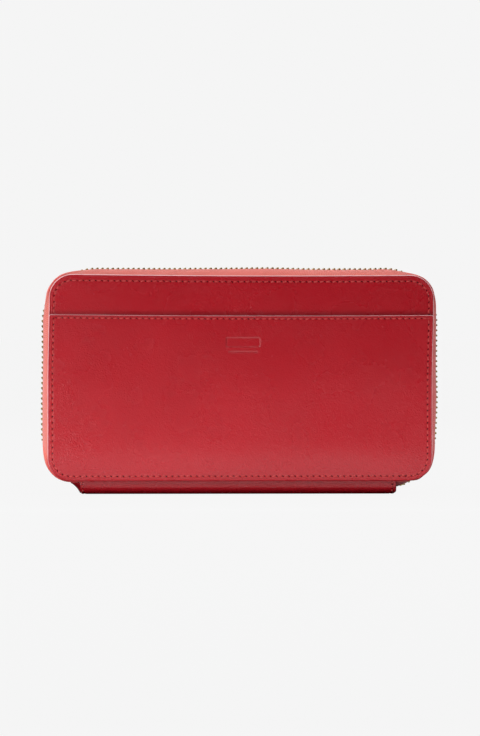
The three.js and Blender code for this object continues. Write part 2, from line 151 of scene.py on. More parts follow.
def make_world():
    """Dark below and in front of the wallet, whose leather mirrors it, and brighter behind."""
    world = bpy.data.worlds.new("studio")
    world.use_nodes = True
    bpy.context.scene.world = world
    nodes, links = world.node_tree.nodes, world.node_tree.links
    place = nodes.new("ShaderNodeTexCoord")
    split = nodes.new("ShaderNodeSeparateXYZ")
    sky = nodes["Background"]
    sky.inputs["Strength"].default_value = WORLD_STRENGTH
    links.new(place.outputs["Generated"], split.inputs[0])
    both = nodes.new("ShaderNodeMath")
    both.operation = "MULTIPLY"
    for k, (axis, low, high) in enumerate(((1, -0.85, 0.3), (2, -0.4, -0.05))):
        ramp = nodes.new("ShaderNodeMapRange")
        ramp.interpolation_type = "SMOOTHSTEP"
        ramp.inputs["From Min"].default_value = low
        ramp.inputs["From Max"].default_value = high
        links.new(split.outputs[axis], ramp.inputs["Value"])
        links.new(ramp.outputs[0], both.inputs[k])
    links.new(both.outputs[0], sky.inputs["Color"])
    bpy.context.scene.view_settings.view_transform = "Standard"


def glow_material(name, strength, diffuse=None):
    """Even white light. A little diffuse grey over it lets a shadow show faintly."""
    mat = bpy.data.materials.new(name)
    mat.use_nodes = True
    nodes, links = mat.node_tree.nodes, mat.node_tree.links
    nodes.clear()
    out = nodes.new("ShaderNodeOutputMaterial")
    glow = nodes.new("ShaderNodeEmission")
    glow.inputs["Strength"].default_value = strength
    if diffuse is None:
        links.new(glow.outputs[0], out.inputs["Surface"])
        return mat
    matt = nodes.new("ShaderNodeBsdfDiffuse")
    matt.inputs["Color"].default_value = (*(diffuse,) * 3, 1)
    both = nodes.new("ShaderNodeAddShader")
    links.new(glow.outputs[0], both.inputs[0])
    links.new(matt.outputs[0], both.inputs[1])
    links.new(both.outputs[0], out.inputs["Surface"])
    return mat


FLOOR_GLOW, DOME_GLOW = 0.905, 0.913
FLOOR_GREY = 0.014


def make_stage():
    """A pale floor and dome, which neither light the wallet nor show in its leather."""
    bpy.ops.mesh.primitive_circle_add(vertices=96, radius=6, fill_type="NGON")
    floor = bpy.context.object
    floor.name = "floor"
    floor.data.materials.append(glow_material("floor", FLOOR_GLOW, FLOOR_GREY))
    bpy.ops.mesh.primitive_uv_sphere_add(segments=48, ring_count=24, radius=6)
    dome = bpy.context.object
    dome.name = "dome"
    dome.data.materials.append(glow_material("dome", DOME_GLOW))
    for part in (floor, dome):
        part.visible_diffuse = part.visible_glossy = part.visible_transmission = False
    dome.visible_shadow = False


# ---------------------------------------- materials


class Nodes:
    """A short way to write a material's node tree."""

    def __init__(self, name):
        self.material = bpy.data.materials.new(name)
        self.material.use_nodes = True
        self.tree = self.material.node_tree

    def put(self, value, socket):
        """Links an output to a socket, or gives the socket a number or a colour."""
        if isinstance(value, bpy.types.NodeSocket):
            self.tree.links.new(value, socket)
        else:
            socket.default_value = (*value, 1) if socket.type == "RGBA" else value

    def add(self, kind, **inputs):
        node = self.tree.nodes.new("ShaderNode" + kind)
        for name, value in inputs.items():
            if hasattr(node, name):
                setattr(node, name, value)
            else:
                self.put(value, node.inputs[name])
        return node

    def math(self, operation, a, b=0.0, clamp=False):
        node = self.tree.nodes.new("ShaderNodeMath")
        node.operation, node.use_clamp = operation, clamp
        self.put(a, node.inputs[0])
        self.put(b, node.inputs[1])
        return node.outputs[0]

    def ramp(self, value, low, high, to_low, to_high):
        node = self.add("MapRange", Value=value)
        names = ("From Min", "From Max", "To Min", "To Max")
        for name, number in zip(names, (low, high, to_low, to_high)):
            node.inputs[name].default_value = number
        return node.outputs[0]

    def mix(self, share, a, b):
        node = self.tree.nodes.new("ShaderNodeMix")
        node.data_type = "RGBA"
        self.put(share, node.inputs["Factor"])
        self.put(a, node.inputs[6])  # the node's sockets A, B and Result for colours
        self.put(b, node.inputs[7])
        return node.outputs[2]

    def place(self):
        return self.add("TexCoord").outputs["Object"]

    def noise(self, per_metre, detail=3.0, roughness=0.5, place=None):
        node = self.add("TexNoise", Vector=place or self.place())
        node.inputs["Scale"].default_value = per_metre
        node.inputs["Detail"].default_value = detail
        node.inputs["Roughness"].default_value = roughness
        return node.outputs["Fac"]

    def bump(self, height, distance_mm, strength=1.0, before=None):
        node = self.add("Bump", Height=height)
        node.inputs["Distance"].default_value = distance_mm * MM
        node.inputs["Strength"].default_value = strength
        if before is not None:
            self.tree.links.new(before, node.inputs["Normal"])
        return node.outputs["Normal"]

    def finish(self, color, rough, normal, **fixed):
        inputs = self.tree.nodes["Principled BSDF"].inputs
        for name, value in (("Base Color", color), ("Roughness", rough), ("Normal", normal)):
            self.put(value, inputs[name])
        for name, value in fixed.items():
            inputs[name.replace("_", " ")].default_value = value
        return self.material


def leather(name, light, deep, rough, grain=1.0, specular=0.45, stamp=False, mouth=None):
    """Smooth dyed leather: mottled colour, fine pebbled grain and a few drawn wrinkles. mouth is
    the height of a pocket's edge, just above which painted shade darkens the leather's colour."""
    n = Nodes(name)
    mottle = n.ramp(n.noise(28, 2, 0.5), 0.3, 0.7, 0, 1)
    flecks = n.ramp(n.noise(1500, 2), 0.35, 0.65, 0, 0.25)
    color = n.mix(n.math("ADD", mottle, flecks, clamp=True), light, deep)
    if mouth is not None:
        height = n.add("SeparateXYZ", Vector=n.place()).outputs[2]
        # painted shade: the colour darkens towards the pocket's edge, where that edge shades the
        # cover
        painted_mouth_shade = n.ramp(height, (mouth - 0.5) * MM, (mouth + 2.8) * MM, 0.7, 0)
        color = n.mix(painted_mouth_shade, color, (0.1, 0, 0.002))
    cells = n.add("TexVoronoi", Vector=n.place(), feature="SMOOTH_F1")
    cells.inputs["Scale"].default_value = 1700
    stretched = n.add("Mapping", Vector=n.place())
    stretched.inputs["Rotation"].default_value = (0, math.radians(35), 0)
    stretched.inputs["Scale"].default_value = (1, 1, 3.2)
    wrinkles = n.noise(330, 4, 0.6, stretched.outputs[0])
    height = n.math("ADD", cells.outputs["Distance"], n.noise(2600, 2))
    pores = n.noise(900, 3, 0.6)
    normal = n.bump(wrinkles, 0.045 * grain, 0.6)
    if stamp:
        normal = n.bump(blind_stamp(n), 0.4, 1.0, normal)
    normal = n.bump(pores, 0.14 * grain, 0.8, normal)
    normal = n.bump(height, 0.13 * grain, 0.8, normal)
    roughness = n.ramp(n.noise(60, 3), 0.3, 0.7, rough - 0.015, rough + 0.015)
    return n.finish(color, roughness, normal, Specular_IOR_Level=specular)


STAMPED_BARS = (  # x, z, half width, half height, corner radius
    (1.4, 76.6, 8.6, 2.4, 1.0),
    (1.4, 71.7, 7.2, 0.35, 0.3),
)


def blind_stamp(n):
    """A plain bar over a thin line, pressed into the leather without foil."""
    at = n.add("SeparateXYZ", Vector=n.place())

    def past(coordinate, middle, half):
        """How far a point lies past a bar's straight part, along one axis."""
        away = n.math("ABSOLUTE", n.math("SUBTRACT", coordinate, middle * MM))
        return n.math("MAXIMUM", n.math("SUBTRACT", away, half * MM))

    pressed = 1.0
    for x, z, half_x, half_z, round_off in STAMPED_BARS:
        far_x = past(at.outputs[0], x, half_x - round_off)
        far_z = past(at.outputs[2], z, half_z - round_off)
        squares = n.math("MULTIPLY", far_x, far_x), n.math("MULTIPLY", far_z, far_z)
        gap = n.math("SQRT", n.math("ADD", *squares))
        height = n.ramp(gap, (round_off - 0.4) * MM, (round_off + 0.3) * MM, 0, 1)
        pressed = n.math("MULTIPLY", height, pressed)
    return pressed


def edge_paint(name, color, painted_low_shade=None):
    """A painted leather edge. The colour given last is the one it takes near the ground, as painted
    shade where the edge lies in shadow.
    """
    n = Nodes(name)
    tone = n.ramp(n.noise(220, 4), 0.3, 0.7, 0, 1)
    mixed = n.mix(tone, color, tuple(c * 0.8 for c in color))
    if painted_low_shade:
        height = n.add("SeparateXYZ", Vector=n.place()).outputs[2]
        # painted shade: below about 22 mm the edge turns to the low colour given, as it lies in
        # shadow there
        mixed = n.mix(n.ramp(height, 9 * MM, 22 * MM, 0, 1), painted_low_shade, mixed)
    normal = n.bump(n.noise(900, 4), 0.08, 0.7)
    return n.finish(mixed, 0.4, normal, Specular_IOR_Level=0.5)


def twill(name, light, deep, length=None):
    """Zip tape: fine diagonal ribs, drawn in the strip's own millimetres (U along, V across), with
    painted shade deepening it where it comes out from under the cover. A tape of the length given is
    deeper in colour at its two ends and up its first side, as painted shade."""
    n = Nodes(name)
    uv = n.add("UVMap").outputs[0]
    parts = n.add("SeparateXYZ", Vector=uv)
    along, across = parts.outputs[0], parts.outputs[1]
    slant = n.math("ADD", n.math("MULTIPLY", along, 0.8), n.math("MULTIPLY", across, 0.6))
    ribs = n.math("SINE", n.math("MULTIPLY", slant, 2 * math.pi / 0.62))
    threads = n.math("SINE", n.math("MULTIPLY", along, 2 * math.pi / 0.36))
    height = n.math("ADD", ribs, n.math("MULTIPLY", threads, 0.45))
    fuzz = n.noise(2500, 3)
    tone = n.math("ADD", n.ramp(height, -1.4, 1.4, 0.55, 0.0), n.ramp(fuzz, 0.3, 0.7, -0.15, 0.15))
    # painted shade: deeper colour over the strip's first 3.4 mm past V = 0, where it comes out from
    # under the cover
    cover_edge_shade = n.ramp(across, 0.3, 3.4, 0.6, 0.0)
    share = n.math("ADD", tone, cover_edge_shade)
    if length:
        # painted shade: deeper colour at the tape's first end and up its first side, and at its last
        # end
        first = n.math("MAXIMUM", n.ramp(along, 10, 34, 1.0, 0), n.ramp(along, 20, 150, 0.6, 0))
        ends = n.math("MAXIMUM", first, n.ramp(along, length - 30, length - 8, 0, 0.6))
        share = n.math("ADD", share, ends)
    color = n.mix(n.math("ADD", share, 0.0, clamp=True), light, deep)
    normal = n.bump(n.math("ADD", height, fuzz), 0.07, 0.7)
    return n.finish(
        color, 0.85, normal, Specular_IOR_Level=0.25, Sheen_Weight=0.35, Sheen_Roughness=0.5
    )


def thread(name, color, specular=0.35, sheen=0.2):
    n = Nodes(name)
    tone = n.ramp(n.noise(3000, 3), 0.3, 0.7, 0, 1)
    mixed = n.mix(tone, color, tuple(c * 0.7 for c in color))
    normal = n.bump(n.noise(5200, 2), 0.05, 0.8)
    return n.finish(mixed, 0.6, normal, Specular_IOR_Level=specular, Sheen_Weight=sheen)


def metal(name, light, deep, rough):
    n = Nodes(name)
    tarnish = n.ramp(n.noise(420, 4, 0.6), 0.35, 0.65, 0, 1)
    color = n.mix(tarnish, light, deep)
    normal = n.bump(n.noise(1800, 3), 0.02, 0.5)
    roughness = n.ramp(n.noise(700, 3), 0.3, 0.7, rough - 0.08, rough + 0.1)
    return n.finish(color, roughness, normal, Metallic=1.0)


def paperboard(name):
    n = Nodes(name)
    fibres = n.ramp(n.noise(900, 5, 0.7), 0.3, 0.7, 0, 1)
    color = n.mix(fibres, (0.52, 0.40, 0.25), (0.38, 0.27, 0.15))
    return n.finish(color, 0.9, n.bump(fibres, 0.05))


RED, DEEP_RED = (0.42, 0.0068, 0.0150), (0.385, 0.0058, 0.0130)
COVER_RED = leather("cover_leather", RED, DEEP_RED, 0.27)
# the front cover's copy of the leather, with painted shade above the slip pocket's edge
FRONT_RED = leather("front_cover_leather", RED, DEEP_RED, 0.27, mouth=POCKET_TOP)
POCKET_RED = leather("slip_pocket_leather", RED, DEEP_RED, 0.27, stamp=True)
LINING_RED = leather("lining_leather", (0.30, 0.008, 0.016), (0.23, 0.006, 0.012), 0.6, 1.6, 0.3)
# The pale pink is partly the edge's paint and partly a painted highlight of the rounded edge catching
# the light; near the ground it turns deep red as painted shade.
PINK_EDGE = edge_paint("edge_paint", (0.93, 0.60, 0.64), (0.42, 0.012, 0.02))
DARK_EDGE = edge_paint("dark_edge", (0.33, 0.012, 0.02))
CORAL, DEEP_CORAL = (0.92, 0.23, 0.18), (0.60, 0.03, 0.035)
TAPE_CORAL = twill("zip_tape", CORAL, DEEP_CORAL)
THREAD_CORAL = thread("sewing_thread", (0.60, 0.05, 0.045))
# The needle holes are flat near-black discs on the leather: painted shade standing in for the shade
# inside each hole.
HOLE_SHADE = thread("needle_hole_shade", (0.02, 0.001, 0.002), 0.05, 0.0)
BRASS = metal("aged_brass", (0.52, 0.40, 0.14), (0.30, 0.22, 0.07), 0.34)
BOARD = paperboard("paperboard")


# ---------------------------------------- mesh helpers


def mesh_object(name, verts, faces, materials, slots=None, uvs=None, smooth=True):
    """A mesh piece from millimetre vertices. uvs are per vertex."""
    mesh = bpy.data.meshes.new(name)
    mesh.from_pydata((np.asarray(verts, float) * MM).tolist(), [], [tuple(f) for f in faces])
    for mat in materials:
        mesh.materials.append(mat)
    if slots is not None:
        mesh.polygons.foreach_set("material_index", np.asarray(slots, np.int32))
    if smooth:
        mesh.polygons.foreach_set("use_smooth", np.ones(len(faces), bool))
    if uvs is not None:
        corner = np.zeros(len(mesh.loops), np.int32)
        mesh.loops.foreach_get("vertex_index", corner)
        layer = mesh.uv_layers.new(name="UVMap")
        layer.data.foreach_set("uv", np.asarray(uvs, float)[corner].ravel())
    mesh.update()
    obj = bpy.data.objects.new(name, mesh)
    bpy.context.scene.collection.objects.link(obj)
    return obj


def loft(rings, closed):
    """Quads between consecutive rings of equal length."""
    count, size = rings.shape[:2]
    steps = size if closed else size - 1
    faces = []
    for i in range(count - 1):
        near, far = i * size, (i + 1) * size
        for j in range(steps):
            k = (j + 1) % size
            faces.append((near + j, near + k, far + k, far + j))
    return faces


def thicken(obj, thickness, offset=-1):
    solid = obj.modifiers.new("thickness", "SOLIDIFY")
    solid.thickness, solid.offset = thickness * MM, offset


def flip(faces):
    return [tuple(reversed(f)) for f in faces]


def path_lengths(path):
    """How far along a path each of its points lies."""
    return np.r_[0, np.cumsum(np.linalg.norm(np.diff(path, axis=0), axis=1))]


def unit(vectors):
    return vectors / np.linalg.norm(vectors, axis=1)[:, None]


def smooth_bump(x):
    x = np.clip(x, 0, 1)
    return x * x * (3 - 2 * x)


# ---------------------------------------- leather panels


class Outline:
    """A rectangle in X and Z with rounded corners. Its ring starts halfway round the lower right
    corner and runs anticlockwise, with RISE steps up each side and RUN along top and bottom."""

    TURN, RISE, RUN = 12, 40, 84

    def __init__(
        self, half_width, bottom, top, bottom_radius, top_radius=None, margins=(1, 1, 1, 1)
    ):
        self.half, self.bottom, self.top = half_width, bottom, top
        self.radii = (bottom_radius, bottom_radius if top_radius is None else top_radius)
        self.margins = margins  # each side's share of an inset: left, right, top, bottom

    def ring(self, inset):
        to_left, to_right, to_top, to_bottom = (inset * share for share in self.margins)
        left, right = to_left - self.half, self.half - to_right
        bottom, top = self.bottom + to_bottom, self.top - to_top
        low, high = (max(r - inset, 0.5) for r in self.radii)
        parts = []

        def line(start, end, count):
            t = np.linspace(0, 1, count, endpoint=False)[:, None]
            parts.append(np.array(start) * (1 - t) + np.array(end) * t)

        def turn(x, z, radius, start):
            a = np.radians(start) + np.linspace(0, np.pi / 2, self.TURN, endpoint=False)
            parts.append(np.stack([x + radius * np.cos(a), z + radius * np.sin(a)], 1))

        line((right, bottom + low), (right, top - high), self.RISE - self.TURN)
        turn(right - high, top - high, high, 0)
        line((right - high, top), (left + high, top), self.RUN - self.TURN)
        turn(left + high, top - high, high, 90)
        line((left, top - high), (left, bottom + low), self.RISE - self.TURN)
        turn(left + low, bottom + low, low, 180)
        line((left + low, bottom), (right - low, bottom), self.RUN - self.TURN)
        turn(right - low, bottom + low, low, 270)
        return np.roll(np.concatenate(parts), self.TURN // 2, axis=0)

    def path(self, inset, step=0.4):
        """Evenly spaced points round the ring, back to the first."""
        ring = self.ring(inset)
        return resample(np.vstack([ring, ring[:1]]), step)


def resample(path, step):
    lengths = path_lengths(path)
    at = np.linspace(0, lengths[-1], max(2, int(round(lengths[-1] / step)) + 1))
    return np.stack([np.interp(at, lengths, path[:, k]) for k in range(path.shape[1])], 1)


def softplus(x, width):
    return width * np.logaddexp(0, np.asarray(x, float) / width)


def undulation(seed, amount):
    """A gentle seeded unevenness, faded out towards the edges."""
    rng = np.random.default_rng(seed)
    waves = []
    for _ in range(9):
        length, angle = rng.uniform(34, 90), rng.uniform(0, np.pi)
        across, up = 2 * np.pi * np.cos(angle) / length, 2 * np.pi * np.sin(angle) / length
        waves.append((across, up, rng.uniform(0, 6.3)))

    def height(x, z):
        total = sum(np.cos(kx * x + kz * z + phase) for kx, kz, phase in waves) / 3
        fade = smooth_bump((HALF_WIDTH - np.abs(x)) / 14) * smooth_bump((z - BOTTOM) / 14)
        return amount * total * fade * smooth_bump((TOP - z) / 12)

    return height


def swell(seed):
    """How far a closed wallet's cover swells over what it holds: flat in the middle, and bent back
    along its bottom and its two sides."""
    uneven = undulation(seed, 0.22)

    def height(x, z):
        x, z = np.asarray(x, float), np.asarray(z, float)
        bend = 0.72 - 0.08 * softplus(20.5 - z, 1.3) - 0.03 * softplus(np.abs(x) - 86, 2.5)
        bend = bend - 0.015 * softplus(z - 100, 2)
        bow = 0.35 * (1 - (x / HALF_WIDTH) ** 2)
        return bend + bow * smooth_bump((z - BOTTOM) / 20) + uneven(x, z)

    return height


def settle(x, z):
    """How a cover has shifted sideways and its top edge dips in the middle, as (x, z) moves."""
    dip = 0.65 * (1 - (x / HALF_WIDTH) ** 2) + 0.3 * x / HALF_WIDTH
    above = z - 55  # only the upper half skews and dips
    shift = SKEW * smooth_bump(above / 50) - EASED_LEFT
    return np.stack([shift, -dip * smooth_bump(above / 55)], -1)


# of the rings on a panel's face, closest round its crease and its sewing line
INSETS = (0.85, 1.0, 1.15, 1.4, 1.7, 1.95, 2.15, 2.3, 2.4, 2.5, 2.65, 2.85, 3.1, 3.5, 4.3, 5.5, 7.5)


def panel(
    name, outline, side, hidden, face, materials,
    seam=SEAM_INSET, lift=None, lift_hidden=False, dent=None, settled=True,
):
    """A leather panel with round painted edges and a line pressed where it is sewn. hidden and
    face are its two sides' distances from the wallet's middle plane. lift is how far it swells at
    (x, z), with its hidden side too if lift_hidden, and dent is how far its face sinks there."""
    turn, thick = (1 if face > hidden else -1), abs(face - hidden)
    edge = min(thick / 2, 0.55)
    quarter = np.radians((0, 30, 60, 90))
    insets = [7.5, 3, edge + 0.2] + [edge * (1 - math.sin(a)) for a in quarter]
    depths = [0, 0, 0] + [edge * (1 - math.cos(a)) for a in quarter]
    insets += [edge * (1 - math.cos(a)) for a in quarter] + list(INSETS)
    depths += [thick - edge * (1 - math.sin(a)) for a in quarter] + [thick] * len(INSETS)
    face_from = 11  # the first ring of INSETS

    def surface(points, depth, on_face, inset=math.inf):
        x, z = points[..., 0], points[..., 1]
        y = hidden + turn * depth + np.zeros(x.shape)
        if on_face:
            y = y - turn * GROOVE_DEPTH * np.exp(-(((inset - seam) / GROOVE_WIDTH) ** 2))
            y = y - turn * CREASE_DEPTH * np.exp(-(((inset - CREASE_INSET) / CREASE_WIDTH) ** 2))
        if dent is not None and on_face:
            y = y - turn * dent(x, z)
        if lift is not None and (lift_hidden or depth > thick / 3):
            y = y + lift(x, z)
        if settled:
            x, z = np.moveaxis(points + settle(x, z), -1, 0)
        return np.stack([x, side * y, z], -1)

    rings = [
        surface(outline.ring(inset), depth, k >= face_from, inset)
        for k, (inset, depth) in enumerate(zip(insets, depths))
    ]
    size, rise, run = len(rings[0]), Outline.RISE, Outline.RUN
    verts = [np.concatenate(rings)]
    faces = loft(np.array(rings), True)
    slots = np.zeros(len(faces), int)
    slots[4 * size : (face_from - 2) * size] = 1  # the painted edge
    u, v = np.linspace(0, 1, run + 1)[:, None, None], np.linspace(0, 1, rise + 1)[None, :, None]
    # the middle of each side, as a patch between its ring's right, top, left and bottom
    fills = ((insets[-1], (len(rings) - 1) * size, thick, True), (insets[0], 0, 0, False))
    for inset, first, depth, on_face in fills:
        loop = outline.ring(inset)
        loop = np.vstack([loop, loop[:1]])
        right, top = loop[: rise + 1][None], loop[rise : rise + run + 1][::-1][:, None]
        left = loop[rise + run : 2 * rise + run + 1][::-1][None]
        bottom = loop[2 * rise + run :][:, None]
        corners = (1 - u) * (1 - v) * left[:, :1] + u * (1 - v) * right[:, :1]
        corners = corners + (1 - u) * v * left[:, -1:] + u * v * right[:, -1:]
        patch = (1 - v) * bottom + v * top + (1 - u) * left + u * right - corners
        index = np.zeros((run + 1, rise + 1), int)
        index[-1, :] = np.arange(rise + 1)
        index[:, -1] = np.arange(rise, rise + run + 1)[::-1]
        index[0, :] = np.arange(rise + run, 2 * rise + run + 1)[::-1]
        index[:, 0] = np.arange(2 * rise + run, size + 1) % size
        index += first
        start = sum(len(block) for block in verts)
        index[1:-1, 1:-1] = start + np.arange((run - 1) * (rise - 1)).reshape(run - 1, rise - 1)
        verts.append(surface(patch[1:-1, 1:-1].reshape(-1, 2), depth, on_face))
        a, b, c, d = index[:-1, :-1], index[1:, :-1], index[1:, 1:], index[:-1, 1:]
        quads = np.stack([a, b, c, d], -1).reshape(-1, 4)
        faces += [tuple(q) for q in (quads if on_face else quads[:, ::-1]).tolist()]
    slots = np.r_[slots, np.zeros(len(faces) - len(slots), int)]
    if side * turn > 0:
        faces = flip(faces)
    return mesh_object(name, np.concatenate(verts), faces, materials, slots)


# ---------------------------------------- sewing


def stitches(name, path, side, level, body, pitch=STITCH, turn=1, width=0.6, hole_length=0.55):
    """A row of stitches along a path of (x, z) points, and its needle holes as flat dark discs of
    painted shade, as two meshes.
    level(x, z) is the surface's distance from the middle plane. turn is -1 on an inside face."""
    lengths = path_lengths(path)
    count = max(1, int(round(lengths[-1] / pitch)))
    step = lengths[-1] / count
    sides = 6
    ring = np.linspace(0, 2 * np.pi, sides, endpoint=False)
    stations = np.linspace(0, 1, 7)  # along a stitch, with the thread's height and thickness
    rise = np.array([-0.32, -0.05, 0.12, 0.16, 0.12, -0.05, -0.32])
    fat = np.array([0.6, 0.9, 1.0, 1.05, 1.0, 0.9, 0.6])
    rng = np.random.default_rng(len(path))
    threads, thread_faces, holes, hole_faces = [], [], [], []

    def at(s):
        return np.array([np.interp(s, lengths, path[:, k]) for k in (0, 1)])

    for i in range(count):
        start, end = at((i + 0.14) * step), at((i + 0.86) * step)
        along = (end - start) / np.linalg.norm(end - start)
        normal = np.array([-along[1], along[0]])
        slant = 0.2 + rng.uniform(-0.05, 0.05)
        base = len(threads)
        for t, up, f in zip(stations, rise, fat):
            centre = start * (1 - t) + end * t + normal * slant * (2 * t - 1)
            y = level(*centre) + turn * up
            for a in ring:
                px, pz = (c + n * math.cos(a) * width / 2 * f for c, n in zip(centre, normal))
                threads.append((px, side * (y + math.sin(a) * 0.22 * f), pz))
        for k in range(len(stations) - 1):
            for j in range(sides):
                a, b = base + k * sides + j, base + k * sides + (j + 1) % sides
                thread_faces.append((a, b, b + sides, a + sides))
        centre = at(i * step)
        tilt = along * math.cos(0.85) - normal * math.sin(0.85)
        cross = np.array([-tilt[1], tilt[0]])
        first = len(holes)
        for a in np.linspace(0, 2 * np.pi, 10, endpoint=False):
            off = tilt * math.cos(a) * hole_length + cross * math.sin(a) * hole_length * 0.45
            p, across = centre + off, off @ normal
            lift = GROOVE_DEPTH * (1 - math.exp(-((across / GROOVE_WIDTH) ** 2))) + 0.05
            holes.append((p[0], side * (level(*p) + turn * lift), p[1]))
        hole_faces.append(tuple(range(first, first + 10)))
    if side < 0:
        thread_faces = flip(thread_faces)
    if side * turn > 0:
        hole_faces = flip(hole_faces)
    sewn = mesh_object(name, threads, thread_faces, [THREAD_CORAL])
    # painted shade: a flat dark disc over each needle hole
    pierced = mesh_object(name + "_holes", holes, hole_faces, [HOLE_SHADE], smooth=False)
    for obj in (sewn, pierced):
        if body:
            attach(obj, body)
    return sewn, pierced


# ---------------------------------------- main zip


def rounded_track(corners, steps):
    """Points along straight runs and rounded corners, as in the CAD: corners are (x, z, radius),
    and steps are the point counts of each run and each corner in turn."""
    points = [np.array(c[:2], float) for c in corners]
    start, out = points[0], []
    for i in range(1, len(points) - 1):
        inward = (points[i] - points[i - 1]) / np.linalg.norm(points[i] - points[i - 1])
        outward = (points[i + 1] - points[i]) / np.linalg.norm(points[i + 1] - points[i])
        turn = math.acos(np.clip(inward @ outward, -1, 1))
        radius = corners[i][2]
        begin = points[i] - inward * radius * math.tan(turn / 2)
        centre = begin + radius * np.array([-inward[1], inward[0]])
        angle = math.atan2(*(begin - centre)[::-1])
        t = np.linspace(0, 1, steps[2 * i - 2], endpoint=False)[:, None]
        out.append(start * (1 - t) + begin * t)
        a = angle + np.linspace(0, turn, steps[2 * i - 1], endpoint=False)
        out.append(centre + radius * np.stack([np.cos(a), np.sin(a)], 1))
        start = points[i] + outward * radius * math.tan(turn / 2)
    t = np.linspace(0, 1, steps[-1])[:, None]
    out.append(start * (1 - t) + points[-1] * t)
    return np.concatenate(out)


TEETH_HIGH = box_mm("front_zip_teeth")[1]
HALF_TOOTH = 1.2  # of the CAD teeth's thickness
BARE_END = 18.2  # of the chain, where the slider and the two top stops are
CHAIN_HALF, CHAIN_TOP = TEETH_HIGH[0] - HALF_TOOTH, TEETH_HIGH[2] - HALF_TOOTH
RIGHT_END, LEFT_END = (79.3, 4.3), (-76.0, 7.4)  # of the chain, as in the CAD
STEPS = (14, 40, 90, 40, 170, 40, 90, 40, 22)


def side_corner(end, degrees, side_x):
    return side_x, end[1] + (side_x - end[0]) * math.tan(math.radians(degrees))


CHAIN_CORNERS = [  # (x, z, radius), as in the CAD
    (*RIGHT_END, 0),
    (*side_corner(RIGHT_END, 23, CHAIN_HALF), 28),
    (CHAIN_HALF, CHAIN_TOP, 27),
    (-CHAIN_HALF, CHAIN_TOP, 27),
    (*side_corner(LEFT_END, -30, -CHAIN_HALF), 16),
    (*LEFT_END, 0),
]
RIM_CORNERS = [
    (RIGHT_END[0], BOTTOM + 1, 0),
    (HALF_WIDTH - 1, BOTTOM + 1, CORNER - 1),
    (HALF_WIDTH - 1, TOP - 1, CORNER - 1),
    (-HALF_WIDTH + 1, TOP - 1, CORNER - 1),
    (-HALF_WIDTH + 1, BOTTOM + 1, CORNER - 1),
    (LEFT_END[0], BOTTOM + 1, 0),
]


def outward_of(path):
    """Outward unit vectors of a track that runs anticlockwise round the wallet."""
    tangent = unit(np.gradient(path, axis=0))
    return np.stack([tangent[:, 1], -tangent[:, 0]], 1)


def waver(path, seed, amount, wavelength):
    """A slow seeded wobble along a path, in millimetres."""
    lengths = path_lengths(path)
    rng = np.random.default_rng(seed)
    values = rng.uniform(-1, 1, int(lengths[-1] / wavelength) + 3)
    index = (lengths / wavelength).astype(int)
    t = smooth_bump(lengths / wavelength - index)
    return amount * (values[index] * (1 - t) + values[index + 1] * t)


CHAIN = rounded_track(CHAIN_CORNERS, STEPS)
CHAIN_OUT = outward_of(CHAIN)
CHAIN_LENGTHS = path_lengths(CHAIN)
RIM = rounded_track(RIM_CORNERS, STEPS)
RIM_OUT = outward_of(RIM)
# the main zip's tape, with painted shade at its ends and up its first side
MAIN_TAPE_CORAL = twill("main_zip_tape", CORAL, DEEP_CORAL, CHAIN_LENGTHS[-1])
# The chain wavers a little where it is free, leans in low on the right and sags at its first end.
SETTLED = smooth_bump(np.minimum(CHAIN_LENGTHS - 12, CHAIN_LENGTHS[-1] - 24 - CHAIN_LENGTHS) / 14)
LEAN_IN = 0.7 * smooth_bump((52 - CHAIN[:, 1]) / 26) * smooth_bump((CHAIN[:, 0] - 60) / 30)
SAG = 0.5 * smooth_bump((18 - CHAIN_LENGTHS) / 8)
CHAIN_MOVED = CHAIN + CHAIN_OUT * ((waver(CHAIN, 11, 0.3, 24) - LEAN_IN) * SETTLED + SAG)[:, None]


LEAST_CREST = (1.6, 1.2)  # how far the tapes stand out past the rim, at least: left, right
DIVE = 1.5  # how steeply they turn in to the teeth
TUCK = 1.6  # how far their two ends run on into the spine
HEM, SHOWING = 4, 13  # their width under the cover and outside it, as the weave's V counts it
GRIP = 1.9  # how far from the middle plane the teeth hold them


